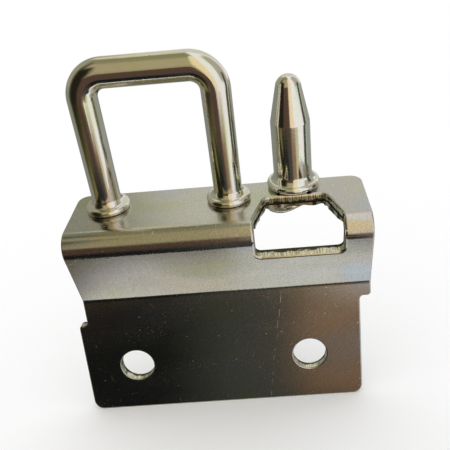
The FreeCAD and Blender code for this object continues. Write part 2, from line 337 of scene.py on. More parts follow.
def add_lug(plate):
    """A half-round lug carries the back of the pin's collar, with a fillet on each side."""
    fillet_y = SHELF_DEPTH + LUG_FILLET
    reach = LUG_RADIUS + LUG_FILLET
    fillet_x = math.sqrt(reach ** 2 - (fillet_y - PIN_BACK) ** 2)
    touch_y = PIN_BACK + (fillet_y - PIN_BACK) * LUG_RADIUS / reach
    combine(plate, block((PIN_X - fillet_x, SHELF_DEPTH - MM, -SHEET),
                         (PIN_X + fillet_x, touch_y, 0), LEVEL), "UNION")
    middle = Matrix.Translation((PIN_X, PIN_BACK, 0))
    combine(plate, round_bar(LUG_RADIUS, -SHEET, 0, middle), "UNION")
    for side in (-1, 1):
        place = Matrix.Translation((PIN_X + side * fillet_x, fillet_y, 0))
        combine(plate, round_bar(LUG_FILLET, -SHEET - PAST, PAST, place), "DIFFERENCE")


def cut_to_outline(plate):
    """Shelf and flange get their own widths, the pin its lug, and every corner its radius."""
    reach = SHELF_DEPTH + FLANGE_HEIGHT
    combine(plate, block((FLANGE_LEFT - PAST, -2 * reach, -reach), (0, LEFT_NOTCH_DROP, reach),
                         FLANGE_FRAME), "DIFFERENCE")
    combine(plate, block((FLANGE_RIGHT, RIGHT_STEP_DROP, -reach),
                         (SHELF_WIDTH + PAST, 2 * reach, reach), FLANGE_FRAME), "DIFFERENCE")
    add_lug(plate)

    def on_flange(x, drop):
        return FLANGE_FRAME @ Vector((x, drop, SHEET / 2))

    def on_shelf(x):
        return Vector((x, SHELF_DEPTH, -SHEET / 2))

    round_corners(plate, [on_shelf(0), on_shelf(SHELF_WIDTH)], SHELF_CORNER)
    round_corners(plate, [on_flange(0, LEFT_NOTCH_DROP), on_flange(FLANGE_RIGHT, RIGHT_STEP_DROP)],
                  NOTCH_CORNER)
    round_corners(plate, [on_flange(FLANGE_LEFT, LEFT_NOTCH_DROP),
                          on_flange(SHELF_WIDTH, RIGHT_STEP_DROP)], SHOULDER_CORNER)
    round_corners(plate, [on_flange(FLANGE_LEFT, FLANGE_HEIGHT),
                          on_flange(FLANGE_RIGHT, FLANGE_HEIGHT)], FLANGE_CORNER)


def window_tools():
    """The window is punched down through shelf and fold, and square through the face."""
    middle = -FOLD_RADIUS / 2
    shelf_tool = block((PIN_X - WINDOW_HALF, -PAST, -FOLD_RADIUS),
                       (PIN_X + WINDOW_HALF, FOLD_RADIUS, PAST), LEVEL)
    bpy.ops.object.mode_set(mode="EDIT")
    select_where(shelf_tool, "FACE", lambda face: face.normal.y > FACING)
    extrude_by((0, WINDOW_BACK - FOLD_RADIUS, 0))
    bpy.ops.transform.resize(value=(WINDOW_HALF_BACK / WINDOW_HALF, 1, 1),
                             center_override=(PIN_X, WINDOW_BACK, middle))
    bpy.ops.object.mode_set(mode="OBJECT")
    halfway = (PAST - FOLD_RADIUS) / 2
    round_corners(shelf_tool, [Vector((PIN_X + side * WINDOW_HALF_BACK, WINDOW_BACK, halfway))
                               for side in (-1, 1)], WINDOW_CORNER)
    face_tool = block((PIN_X - WINDOW_HALF, -FOLD_RADIUS, -PAST),
                      (PIN_X + WINDOW_HALF, WINDOW_DROP, FOLD_RADIUS), FACE_FRAME)
    round_corners(face_tool, [FACE_FRAME @ Vector((PIN_X + side * WINDOW_HALF, WINDOW_DROP, -halfway))
                              for side in (-1, 1)], WINDOW_CORNER)
    return [shelf_tool, face_tool]


def hole_tools():
    """Three rivet holes through the shelf and two bolt holes through the flange."""
    tools = []
    for x, y, shank in [(LOOP_LEFT, LOOP_BACK, LOOP_SHANK), (LOOP_RIGHT, LOOP_BACK, LOOP_SHANK),
                        (PIN_X, PIN_BACK, PIN_SHANK)]:
        tools.append(round_bar(shank + RIVET_GAP, -SHEET - PAST, PAST,
                               Matrix.Translation((x, y, 0))))
    for side in (-1, 1):
        middle = Matrix.Translation((BOLT_MIDDLE + side * BOLT_SPACING / 2, BOLT_LINE_DROP, 0))
        tools.append(round_bar(BOLT_HOLE / 2, -PAST, SHEET + PAST, FLANGE_FRAME @ middle))
    return tools


def by_window(point):
    """Whether a point of the bracket lies on the window's outline or inside it."""
    return (abs(point.x - PIN_X) < WINDOW_HALF + NEARBY and point.y < WINDOW_BACK + NEARBY
            and point.z > FACE_START.z - WINDOW_DROP - NEARBY)


def roll_rims(plate, depth, offset, segments, where=lambda point: True):
    """Rounds the rims of one side of the sheet, which lies at the depth given."""
    def is_rim(edge):
        return (edge.is_convex and edge.calc_face_angle() > math.radians(RIM_TURN)
                and where(middle_of(edge))
                and all(abs(depth_in_sheet(vert.co) - depth) < HAIR for vert in edge.verts))

    pick(plate)
    bpy.ops.object.mode_set(mode="EDIT")
    select_where(plate, "EDGE", is_rim)
    bpy.ops.mesh.bevel(offset=offset, segments=segments, affect="EDGES", clamp_overlap=False)
    bpy.ops.object.mode_set(mode="OBJECT")


def mark_cuts(plate):
    """Keeps each point's depth in the sheet, and puts the second material on the cuts through it."""
    depths = [depth_in_sheet(vertex.co) for vertex in plate.data.vertices]
    plate.data.attributes.new("depth", "FLOAT", "POINT").data.foreach_set("value", depths)
    plate.data.materials.append(None)
    plate.data.materials.append(None)
    for face in plate.data.polygons:
        across = [depths[index] for index in face.vertices]
        middle = sum(across) / len(across)
        face.material_index = int(abs(middle) > DIE_ROLL and abs(middle - SHEET) > BURR_EDGE)


def cut_across(lip, along, cuts, smoothness):
    """Divides the edges that run along the lip."""
    select_where(lip, "EDGE", lambda edge: abs(
        (edge.verts[1].co - edge.verts[0].co).normalized().dot(along)) > LENGTHWISE)
    bpy.ops.mesh.subdivide(number_cuts=cuts, smoothness=smoothness)


def tear_lip(plate):
    """The punch has dragged a ragged lip down the window's back edge and round its corners."""
    corners = [Vector((PIN_X + x, y, 0)) for x, y in [
        (-WINDOW_HALF, FOLD_RADIUS), (-WINDOW_HALF_BACK, WINDOW_BACK),
        (WINDOW_HALF_BACK, WINDOW_BACK), (WINDOW_HALF, FOLD_RADIUS)]]
    for start, end, drop, seed in zip(corners, corners[1:], LIP_DROPS, LIP_SEEDS):
        length = (end - start).length
        along = (end - start) / length
        into_window = Vector((along.y, -along.x, 0))
        lip = block((0, -LIP_ROOT, -SHEET - drop), (length, LIP_REACH, -SHEET + drop),
                    frame_of(start, along, into_window, UP))
        bpy.ops.object.mode_set(mode="EDIT")
        cut_across(lip, along, round(length / LIP_STEP), 0)
        select_where(lip, "VERT", lambda vert: vert.co.z < -SHEET)
        bpy.ops.transform.vertex_random(offset=drop * LIP_SHAKE, seed=seed)
        cut_across(lip, along, LIP_CUTS, 1)
        bpy.ops.mesh.select_all(action="SELECT")
        bpy.ops.mesh.normals_make_consistent(inside=False)
        bpy.ops.object.mode_set(mode="OBJECT")
        combine(plate, lip, "UNION")


def bracket():
    """The folded sheet with its outline, window, holes and rolled rims."""
    plate = folded_strip()
    cut_to_outline(plate)
    for tool in window_tools() + hole_tools():
        combine(plate, tool, "DIFFERENCE")
    tear_lip(plate)
    roll_rims(plate, 0, WINDOW_ROLL, WINDOW_ROLL_STEPS, by_window)
    roll_rims(plate, 0, DIE_ROLL, DIE_ROLL_STEPS)
    roll_rims(plate, SHEET, BURR_EDGE, BURR_STEPS)
    mark_cuts(plate)
    smooth(plate, CRISP_SHEET)
    stand_on_flange(plate)
    return plate


def arc(center_radius, center_height, radius, start, end, steps):
    """Rings along an arc in side view, from one angle to the other, in degrees."""
    angles = [math.radians(start + (end - start) * step / steps) for step in range(steps + 1)]
    return [(center_radius + radius * math.cos(angle), center_height + radius * math.sin(angle))
            for angle in angles]


def foot_rings(rod, flare_top, collar, collar_height, shank, head, head_height, edge, tilt=0.0):
    """Radius and height of each ring of a foot, from the rod down to the middle of the head, and
    the tilt of each ring of the head."""
    rim = collar_height / 2
    spread = collar - rim - rod
    rise = flare_top - collar_height
    flare = (spread ** 2 + rise ** 2) / (2 * spread)
    flare_end = 180 + math.degrees(math.atan2(rise, flare - spread))
    under = -SHEET
    corner = head - edge
    drop = head_height - edge
    dome = (corner ** 2 + drop ** 2 - edge ** 2) / (2 * (drop - edge))
    touch = math.degrees(math.asin(corner / (dome - edge))) - 90
    level = (
        [(rod, flare_top + ABOVE_FLARE)]
        + arc(rod + flare, flare_top, flare, 180, flare_end, FLARE_STEPS)
        + arc(collar - rim, rim, rim, COLLAR_TURN, -COLLAR_TURN, COLLAR_STEPS)
        + [(shank, 0.0), (shank, under), (corner, under)]
    )
    side = arc(corner, under - edge, edge, 90, touch, HEAD_STEPS)
    face = arc(0, under - head_height + dome, dome, touch, -NEAR_POLE, HEAD_STEPS)
    return (level
            + [(*ring, tilt * step / len(side)) for step, ring in enumerate(side)]
            + [(*ring, tilt) for ring in face])


def draw_rings(x, y, start, rings):
    """Draws the selected ring of a rod on through the rings, which lie level unless a tilt is
    given; a tilted ring has swung to the left as well."""
    last_radius, last_height = start
    last_tilt = last_swing = 0.0
    for radius, height, *tilts in rings:
        tilt = tilts[0] if tilts else 0.0
        swing = -HEAD_SWING * math.sin(math.radians(tilt))
        extrude_by((swing - last_swing, 0, height - last_height))
        middle = (x + swing, y, height)
        scale = radius / last_radius
        bpy.ops.transform.resize(value=(scale, scale, scale), center_override=middle)
        if tilt != last_tilt:
            bpy.ops.transform.rotate(value=math.radians(tilt - last_tilt), orient_axis="Y",
                                     center_override=middle)
        last_radius, last_height, last_tilt, last_swing = radius, height, tilt, swing
    extrude_by((0, 0, 0))
    bpy.ops.mesh.merge(type="CENTER")


def start_ring(name, x, y, radius, height):
    """A ring of the rod, in edit mode, from which the rest is drawn both ways."""
    bpy.ops.mesh.primitive_circle_add(vertices=RING_STEPS, radius=radius, location=(x, y, height))
    rod = named(name)
    bpy.ops.object.transform_apply(location=True, rotation=True, scale=True)
    bpy.ops.object.mode_set(mode="EDIT")
    bpy.ops.mesh.select_all(action="SELECT")
    return rod


def finish_rod(rod):
    """Closes a rod's mesh, shades it and stands it on the flange."""
    bpy.ops.mesh.select_all(action="SELECT")
    bpy.ops.mesh.remove_doubles(threshold=HAIR)
    bpy.ops.mesh.normals_make_consistent(inside=False)
    bpy.ops.object.mode_set(mode="OBJECT")
    smooth(rod, CRISP_ROD)
    stand_on_flange(rod)


def mark_round(loop):
    """Keeps where each point lies in the wire's cross-section: outwards from the loop, and back."""
    bend_start = LOOP_TOP - LOOP_BEND
    places = []
    for vertex in loop.data.vertices:
        x, y, z = vertex.co
        inner = min(max(x, LOOP_LEFT + LOOP_BEND), LOOP_RIGHT - LOOP_BEND)
        if z < bend_start:
            outwards = abs(x - (LOOP_LEFT + LOOP_RIGHT) / 2) - (LOOP_RIGHT - LOOP_LEFT) / 2
        else:
            outwards = math.hypot(x - inner, z - bend_start) - LOOP_BEND
        places += [outwards, y - LOOP_BACK, 0]
    loop.data.attributes.new("round", "FLOAT_VECTOR", "POINT").data.foreach_set("vector", places)


def wire_loop():
    """A U of round wire, drawn up one leg, across and down the other, with a foot on each."""
    feet = foot_rings(LOOP_ROD, LOOP_FLARE_TOP, LOOP_COLLAR, LOOP_COLLAR_HEIGHT, LOOP_SHANK,
                      LOOP_HEAD, LOOP_HEAD_HEIGHT, LOOP_HEAD_RIM)
    start = (LOOP_ROD, LOOP_FLARE_TOP + FIRST_RING)
    bend_start = LOOP_TOP - LOOP_BEND
    loop = start_ring("loop", LOOP_LEFT, LOOP_BACK, *start)
    for step, center_x in [((0, 0, bend_start - start[1]), LOOP_LEFT + LOOP_BEND),
                           ((LOOP_RIGHT - LOOP_LEFT - 2 * LOOP_BEND, 0, 0), LOOP_RIGHT - LOOP_BEND)]:
        extrude_by(step)
        bpy.ops.mesh.spin(steps=BEND_STEPS, angle=-math.radians(90), axis=(0, 1, 0),
                          center=(center_x, LOOP_BACK, bend_start), use_auto_merge=False)
    extrude_by((0, 0, start[1] - bend_start))
    draw_rings(LOOP_RIGHT, LOOP_BACK, start, feet)
    select_where(loop, "EDGE", lambda edge: edge.is_boundary)
    draw_rings(LOOP_LEFT, LOOP_BACK, start, feet)
    bpy.ops.object.mode_set(mode="OBJECT")
    mark_round(loop)
    bpy.ops.object.mode_set(mode="EDIT")
    finish_rod(loop)
    return loop


def pin_rings():
    """Radius and height of each ring of the pin from its shoulder up to the tip."""
    nose = PIN_TIP - NOSE_RADIUS
    rise = nose - PIN_SHOULDER
    to_center = math.degrees(math.atan2(rise, -PIN_ROD))
    tangent = math.sqrt(PIN_ROD ** 2 + rise ** 2 - NOSE_RADIUS ** 2)
    touch = to_center - math.degrees(math.atan2(NOSE_RADIUS, tangent)) - 90
    taper = math.tan(math.radians(touch))
    return ([(PIN_ROD, PIN_SHOULDER - SHOULDER_HALF),
             (PIN_ROD - SHOULDER_HALF * taper, PIN_SHOULDER + SHOULDER_HALF)]
            + arc(0, nose, NOSE_RADIUS, touch, NEAR_POLE, NOSE_STEPS))


def guide_pin():
    """A straight pin with a tapered, round-nosed tip and a foot whose head is peened askew."""
    start = (PIN_ROD, PIN_FLARE_TOP + FIRST_RING)
    pin = start_ring("pin", PIN_X, PIN_BACK, *start)
    draw_rings(PIN_X, PIN_BACK, start, pin_rings())
    select_where(pin, "EDGE", lambda edge: edge.is_boundary)
    draw_rings(PIN_X, PIN_BACK, start, foot_rings(
        PIN_ROD, PIN_FLARE_TOP, PIN_COLLAR, PIN_COLLAR_HEIGHT, PIN_SHANK, PIN_HEAD,
        PIN_HEAD_HEIGHT, PIN_HEAD_RIM, HEAD_TILT))
    finish_rod(pin)
    return pin


plate = bracket()
loop = wire_loop()
pin = guide_pin()
for piece, node, slot in [(plate, "bracket_plate", "plated_sheet"),
                          (loop, "striker_loop", "plated_wire"),
                          (pin, "guide_pin", "plated_pin")]:
    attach(piece, "root")
    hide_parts(node)


def linear(hex_colour):
    """An sRGB hex colour as linear RGBA."""
    values = [int(hex_colour[start:start + 2], 16) / 255 for start in (1, 3, 5)]
    return (*(value / 12.92 if value <= 0.04045 else ((value + 0.055) / 1.055) ** 2.4
              for value in values), 1)


def add_node(tree, kind, settings=None, stops=(), **inputs):
    """Adds a node. Settings are its attributes, and stops the places and hex colours of its ramp.
    Each input is a value, a socket, or a node whose first output is meant. It goes by its name,
    with an underscore for a space, or as _0, _1 and so on by its number."""
    node = tree.nodes.new(kind)
    for setting, value in (settings or {}).items():
        setattr(node, setting, value)
    for _ in stops[2:]:
        node.color_ramp.elements.new(0.5)
    for index, (position, colour) in enumerate(stops):
        node.color_ramp.elements[index].position = position
        node.color_ramp.elements[index].color = linear(colour)
    for name, value in inputs.items():
        socket = node.inputs[int(name[1:])] if name[0] == "_" else node.inputs[name.replace("_", " ")]
        if isinstance(value, bpy.types.Node):
            value = value.outputs[0]
        if isinstance(value, bpy.types.NodeSocket):
            tree.links.new(value, socket)
        else:
            socket.default_value = value
    return node


ADD = {"operation": "ADD"}
SUBTRACT = {"operation": "SUBTRACT"}
MULTIPLY = {"operation": "MULTIPLY"}
MAXIMUM = {"operation": "MAXIMUM"}
ABSOLUTE = {"operation": "ABSOLUTE"}
SOFT = {"interpolation_type": "SMOOTHSTEP"}
FLAT = {"voronoi_dimensions": "2D"}
SOLID = {"voronoi_dimensions": "3D"}


def new_metal(name):
    """A metal with nothing but its shader; its IOR stays as it comes."""
    material = bpy.data.materials.new(name)
    material.use_nodes = True
    shader = material.node_tree.nodes["Principled BSDF"]
    shader.inputs["Metallic"].default_value = 1
    return material, material.node_tree, shader


def grains(tree, size, detail=2.0, turn=0.0):
    """Noise whose grains have the size given along x, y and z, in metres, turned about x."""
    place = add_node(tree, "ShaderNodeTexCoord").outputs["Object"]
    turned = add_node(tree, "ShaderNodeMapping", Vector=place, Rotation=(math.radians(turn), 0, 0))
    scaled = add_node(tree, "ShaderNodeMapping", Vector=turned,
                      Scale=tuple(1 / length for length in size))
    return add_node(tree, "ShaderNodeTexNoise", Vector=scaled, Scale=1.0, Detail=detail)


def wandering(tree, place, size, reach):
    """A place, moved to and fro by up to the reach."""
    sway = add_node(tree, "ShaderNodeTexNoise", Vector=place, Scale=1 / size)
    return add_node(tree, "ShaderNodeMixRGB", {"blend_type": "LINEAR_LIGHT"}, _0=reach, _1=place,
                    _2=sway.outputs["Color"])


def unfolded(tree):
    """Places on the sheet as if it lay flat: x along the fold, y up the flange and face and
    backwards on the shelf the other way, which the patterns don't mind."""
    place = add_node(tree, "ShaderNodeTexCoord")
    axes = add_node(tree, "ShaderNodeSeparateXYZ", _0=place.outputs["Object"])
    upwards = add_node(tree, "ShaderNodeMath", SUBTRACT, _0=axes.outputs["Z"], _1=axes.outputs["Y"])
    return add_node(tree, "ShaderNodeCombineXYZ", X=axes.outputs["X"], Y=upwards)


def nicks(tree, place, dimensions, spacing, size, share):
    """Small nicks, one to a cell of the spacing, in a share of the cells."""
    cells = add_node(tree, "ShaderNodeTexVoronoi", dimensions, Vector=place, Scale=1 / spacing)
    dot = add_node(tree, "ShaderNodeMapRange", SOFT, Value=cells, From_Min=size / spacing,
                   From_Max=0.5 * size / spacing)
    chance = add_node(tree, "ShaderNodeSeparateXYZ", _0=cells.outputs["Color"])
    chosen = add_node(tree, "ShaderNodeMapRange", Value=chance, From_Min=1 - share,
                      From_Max=1.02 - share)
    return add_node(tree, "ShaderNodeMath", MULTIPLY, _0=dot, _1=chosen)


def hairlines(tree, place, spread, width):
    """Fine scratches that run straight for a while, turn, and break up into dashes. They are the
    borders of large cells."""
    edges = add_node(tree, "ShaderNodeTexVoronoi", {**FLAT, "feature": "DISTANCE_TO_EDGE"},
                     Vector=wandering(tree, place, size=6 * MM, reach=1.5 * MM),
                     Scale=1 / spread)
    line = add_node(tree, "ShaderNodeMapRange", SOFT, Value=edges, From_Min=width / spread,
                    From_Max=0.4 * width / spread)
    dashes = add_node(tree, "ShaderNodeTexNoise", Vector=place, Scale=1 / (3 * MM), Detail=5.0)
    shown = add_node(tree, "ShaderNodeMapRange", SOFT, Value=dashes, From_Min=0.52, From_Max=0.62)
    return add_node(tree, "ShaderNodeMath", MULTIPLY, _0=line, _1=shown)


# The long scratch on the flange
SCRATCH_X = 15.2 * MM                 # about where it crosses the line of the bolt holes
SCRATCH_SLANT = 0.16                  # how far it goes to the right for each step up
SCRATCH_TOP = 24 * MM                 # above that line, just short of the crease


def long_scratch(tree, place):
    """One scratch that runs all the way down the flange, a little askew, in dashes."""
    askew = add_node(tree, "ShaderNodeVectorMath", {"operation": "DOT_PRODUCT"},
                     _0=wandering(tree, place, size=3 * MM, reach=0.7 * MM),
                     _1=(1, -SCRATCH_SLANT, 0))
    aside = add_node(tree, "ShaderNodeMath", SUBTRACT, _0=askew.outputs["Value"], _1=SCRATCH_X)
    away = add_node(tree, "ShaderNodeMath", ABSOLUTE, _0=aside)
    line = add_node(tree, "ShaderNodeMapRange", SOFT, Value=away, From_Min=0.13 * MM, From_Max=0)
    dashes = add_node(tree, "ShaderNodeTexNoise", Vector=place, Scale=1 / (1.6 * MM), Detail=4.0)
    shown = add_node(tree, "ShaderNodeMapRange", SOFT, Value=dashes, From_Min=0.45, From_Max=0.6)
    upwards = add_node(tree, "ShaderNodeSeparateXYZ", _0=place).outputs["Y"]
    on_flange = add_node(tree, "ShaderNodeMapRange", Value=upwards, From_Min=SCRATCH_TOP + MM,
                         From_Max=SCRATCH_TOP)
    dashed = add_node(tree, "ShaderNodeMath", MULTIPLY, _0=line, _1=shown)
    return add_node(tree, "ShaderNodeMath", MULTIPLY, _0=dashed, _1=on_flange)


def wear(tree):
    """What handling has left on the sheet, from 0 to 1: nicks, specks in patches, and scratches."""
    place = unfolded(tree)
    uneven = wandering(tree, place, size=0.5 * MM, reach=0.4 * MM)
    large = nicks(tree, uneven, FLAT, spacing=4.6 * MM, size=0.2 * MM, share=0.22)
    specks = nicks(tree, uneven, FLAT, spacing=1.1 * MM, size=0.13 * MM, share=0.4)
    patches = add_node(tree, "ShaderNodeTexNoise", Vector=place, Scale=1 / (8 * MM), Detail=2.0)
    thick = add_node(tree, "ShaderNodeMapRange", SOFT, Value=patches, From_Min=0.42, From_Max=0.72,
                     To_Min=0.03, To_Max=0.6)
    specks = add_node(tree, "ShaderNodeMath", MULTIPLY, _0=specks, _1=thick)
    lines = hairlines(tree, place, spread=16 * MM, width=0.07 * MM)
    lines = add_node(tree, "ShaderNodeMath", MULTIPLY, _0=lines, _1=0.55)
    worn = long_scratch(tree, place)
    for pattern in (large, specks, lines):
        worn = add_node(tree, "ShaderNodeMath", MAXIMUM, _0=worn, _1=pattern)
    return worn


def plated_sheet():
    """Bright zinc over cold-rolled sheet: satin, so it mirrors only large light and dark shapes; a
    fine grain sparkles, faint streaks run along the profile, and the clear passivation has a trace
    of colour that goes from olive to pink and blue. Handling has left nicks and hairlines."""
    material, tree, shader = new_metal("zinc_plated_sheet")
    # The grain of rolled sheet is 0.02 to 0.1 mm; it is drawn about 0.3 mm coarse so that it shows.
    pepper = grains(tree, (0.28 * MM, 0.28 * MM, 0.28 * MM), detail=3.0)
    streaks = grains(tree, (0.35 * MM, 40 * MM, 40 * MM), detail=1.0)
    clouds = grains(tree, (26 * MM, 14 * MM, 9 * MM), detail=3.0)
    worn = wear(tree)
    place = add_node(tree, "ShaderNodeTexCoord").outputs["Object"]
    across = add_node(tree, "ShaderNodeSeparateXYZ", _0=place)
    rightwards = add_node(tree, "ShaderNodeMapRange", SOFT, Value=across, From_Min=22 * MM,
                          From_Max=38 * MM, To_Min=-0.06, To_Max=0.14)
    patches = grains(tree, (24 * MM, 12 * MM, 12 * MM), detail=1.0)
    film = add_node(tree, "ShaderNodeMath", ADD, _0=patches, _1=rightwards)
    tint = add_node(tree, "ShaderNodeValToRGB", stops=[
        (0.28, "#CBCBB4"), (0.40, "#CFCDC2"), (0.52, "#D1CDC3"), (0.60, "#CFCAC6"),
        (0.70, "#C6CCD2")], Fac=film)
    grain_shade = add_node(tree, "ShaderNodeValToRGB", stops=[(0.36, "#E2E2E2"), (0.6, "#FFFFFF")],
                           Fac=pepper)
    clean = add_node(tree, "ShaderNodeMixRGB", {"blend_type": "MULTIPLY"}, _0=1.0, _1=tint,
                     _2=grain_shade)
    colour = add_node(tree, "ShaderNodeMixRGB", _0=worn, _1=clean, _2=linear("#EDEBE2"))
    tree.links.new(colour.outputs[0], shader.inputs["Base Color"])
    cloudy = add_node(tree, "ShaderNodeMapRange", SOFT, Value=clouds, From_Min=0.3, From_Max=0.7,
                      To_Min=0.14, To_Max=0.22)
    streaky = add_node(tree, "ShaderNodeMapRange", SOFT, Value=streaks, From_Min=0.3, From_Max=0.7,
                       To_Min=-0.01, To_Max=0.015)
    rough = add_node(tree, "ShaderNodeMath", ADD, _0=cloudy, _1=streaky)
    rough_wear = add_node(tree, "ShaderNodeMath", MULTIPLY, _0=worn, _1=0.4)
    rough = add_node(tree, "ShaderNodeMath", ADD, _0=rough, _1=rough_wear)
    tree.links.new(rough.outputs[0], shader.inputs["Roughness"])
    ridges = add_node(tree, "ShaderNodeMath", MULTIPLY, _0=streaks, _1=0.08)
    height = add_node(tree, "ShaderNodeMath", ADD, _0=pepper, _1=ridges)
    dents = add_node(tree, "ShaderNodeMath", MULTIPLY, _0=worn, _1=1.2)
    height = add_node(tree, "ShaderNodeMath", SUBTRACT, _0=height, _1=dents)
    bump = add_node(tree, "ShaderNodeBump", Strength=0.35, Distance=0.02 * MM, Height=height)
    tree.links.new(bump.outputs[0], shader.inputs["Normal"])
    return material


def sheared_edge():
    """The plated cut through the sheet: a smooth band with drag lines where the punch went in, and
    below it a torn band, dull, whose border wavers; its dark colour is painted shade."""
    material, tree, shader = new_metal("zinc_plated_sheared_edge")
    depth = add_node(tree, "ShaderNodeAttribute", {"attribute_name": "depth"}).outputs["Fac"]
    waver = add_node(tree, "ShaderNodeMapRange", SOFT,
                     Value=grains(tree, (1.6 * MM, 1.6 * MM, 1.6 * MM)), From_Min=0.3,
                     From_Max=0.7, To_Min=-0.35 * MM, To_Max=0.35 * MM)
    border = add_node(tree, "ShaderNodeMath", ADD, _0=depth, _1=waver)
    torn_band_and_shade = add_node(tree, "ShaderNodeMapRange", SOFT, Value=border, From_Min=1.6 * MM,
                    From_Max=2.0 * MM)
    # The punch leaves lines 0.05 to 0.2 mm apart; they are drawn 0.3 mm apart so that they show.
    drag = grains(tree, (0.28 * MM, 6 * MM, 6 * MM), detail=3.0)
    crumbs = grains(tree, (0.3 * MM, 0.3 * MM, 0.3 * MM), detail=4.0)
    scored = add_node(tree, "ShaderNodeValToRGB", stops=[(0.36, "#93906E"), (0.6, "#F0EDD8")],
                      Fac=drag)
    # The torn band is really duller, but its near-black colour is painted shade under the cut.
    colour = add_node(tree, "ShaderNodeMixRGB", _0=torn_band_and_shade, _1=scored, _2=linear("#4C4B38"))
    tree.links.new(colour.outputs[0], shader.inputs["Base Color"])
    drawn = add_node(tree, "ShaderNodeMapRange", SOFT, Value=drag, From_Min=0.3, From_Max=0.7,
                     To_Min=0.16, To_Max=0.3)
    dull = add_node(tree, "ShaderNodeMath", MULTIPLY, _0=torn_band_and_shade, _1=0.15)
    rough = add_node(tree, "ShaderNodeMath", ADD, _0=drawn, _1=dull)
    tree.links.new(rough.outputs[0], shader.inputs["Roughness"])
    height = add_node(tree, "ShaderNodeMixRGB", _0=torn_band_and_shade, _1=drag, _2=crumbs)
    bump = add_node(tree, "ShaderNodeBump", Strength=1.0, Distance=0.06 * MM, Height=height)
    tree.links.new(bump.outputs[0], shader.inputs["Normal"])
    return material


def plated_wire():
    """Bright zinc over drawn wire: glossy, so it mirrors in crisp stripes that waver a little where
    the surface isn't quite even, with faint lines along it from the die and a few small pits."""
    material, tree, shader = new_metal("zinc_plated_wire")
    swell = grains(tree, (3 * MM, 3 * MM, 7 * MM), turn=FLANGE_LEAN)
    grit = grains(tree, (0.3 * MM, 0.3 * MM, 0.8 * MM), detail=3.0, turn=FLANGE_LEAN)
    # Drawing leaves lines of 0.02 to 0.1 mm; they are drawn 0.2 mm wide so that they show.
    section = add_node(tree, "ShaderNodeAttribute", {"attribute_name": "round"}).outputs["Vector"]
    drawn = add_node(tree, "ShaderNodeTexNoise", {"noise_dimensions": "2D"}, Vector=section,
                     Scale=1 / (0.4 * MM), Detail=2.0)
    place = add_node(tree, "ShaderNodeTexCoord").outputs["Object"]
    pits = nicks(tree, wandering(tree, place, size=0.6 * MM, reach=0.4 * MM), SOLID,
                 spacing=4.2 * MM, size=0.3 * MM, share=0.3)
    colour = add_node(tree, "ShaderNodeValToRGB", stops=[
        (0.34, "#DDDDC6"), (0.5, "#E2DFD6"), (0.66, "#E2D9D2")],
        Fac=grains(tree, (6 * MM, 6 * MM, 14 * MM)))
    dull = add_node(tree, "ShaderNodeMixRGB", _0=pits, _1=colour, _2=linear("#A9A595"))
    tree.links.new(dull.outputs[0], shader.inputs["Base Color"])
    rough = add_node(tree, "ShaderNodeMapRange", SOFT, Value=grit, From_Min=0.3, From_Max=0.7,
                     To_Min=0.08, To_Max=0.14)
    tree.links.new(rough.outputs[0], shader.inputs["Roughness"])
    fine = add_node(tree, "ShaderNodeMath", MULTIPLY, _0=grit, _1=0.12)
    lined = add_node(tree, "ShaderNodeMath", MULTIPLY, _0=drawn, _1=0.8)
    fine = add_node(tree, "ShaderNodeMath", ADD, _0=fine, _1=lined)
    height = add_node(tree, "ShaderNodeMath", ADD, _0=swell, _1=fine)
    sunk = add_node(tree, "ShaderNodeMath", MULTIPLY, _0=pits, _1=0.5)
    height = add_node(tree, "ShaderNodeMath", SUBTRACT, _0=height, _1=sunk)
    bump = add_node(tree, "ShaderNodeBump", Strength=0.5, Distance=0.05 * MM, Height=height)
    tree.links.new(bump.outputs[0], shader.inputs["Normal"])
    return material


def plated_pin():
    """Bright zinc over a turned pin: glossy, with fine rings from the lathe and, in its bright
    stripe, specks of green and pink from the clear passivation."""
    material, tree, shader = new_metal("zinc_plated_pin")
    # The lathe leaves rings about 0.1 mm apart; they are drawn 0.3 mm apart so that they show.
    rings = grains(tree, (40 * MM, 40 * MM, 0.3 * MM), turn=FLANGE_LEAN)
    grit = grains(tree, (0.4 * MM, 0.4 * MM, 0.5 * MM), detail=3.0, turn=FLANGE_LEAN)
    colour = add_node(tree, "ShaderNodeValToRGB", stops=[
        (0.32, "#D6E2CC"), (0.46, "#E4E2D8"), (0.56, "#E6E1DA"), (0.68, "#E6D6D0")],
        Fac=grains(tree, (1.1 * MM, 1.1 * MM, 1.8 * MM), turn=FLANGE_LEAN))
    tree.links.new(colour.outputs[0], shader.inputs["Base Color"])
    rough = add_node(tree, "ShaderNodeMapRange", SOFT, Value=grit, From_Min=0.3, From_Max=0.7,
                     To_Min=0.09, To_Max=0.16)
    tree.links.new(rough.outputs[0], shader.inputs["Roughness"])
    fine = add_node(tree, "ShaderNodeMath", MULTIPLY, _0=grit, _1=0.4)
    height = add_node(tree, "ShaderNodeMath", ADD, _0=rings, _1=fine)
    bump = add_node(tree, "ShaderNodeBump", Strength=0.4, Distance=0.02 * MM, Height=height)
    tree.links.new(bump.outputs[0], shader.inputs["Normal"])
    return material


def dress(piece, *materials):
    """Gives the piece its materials; the second, if any, goes on the cuts through the sheet."""
    while len(piece.data.materials) < len(materials):
        piece.data.materials.append(None)
    for slot_index, material in enumerate(materials):
        piece.data.materials[slot_index] = material


dress(plate, plated_sheet(), sheared_edge())
dress(loop, plated_wire())
dress(pin, plated_pin())

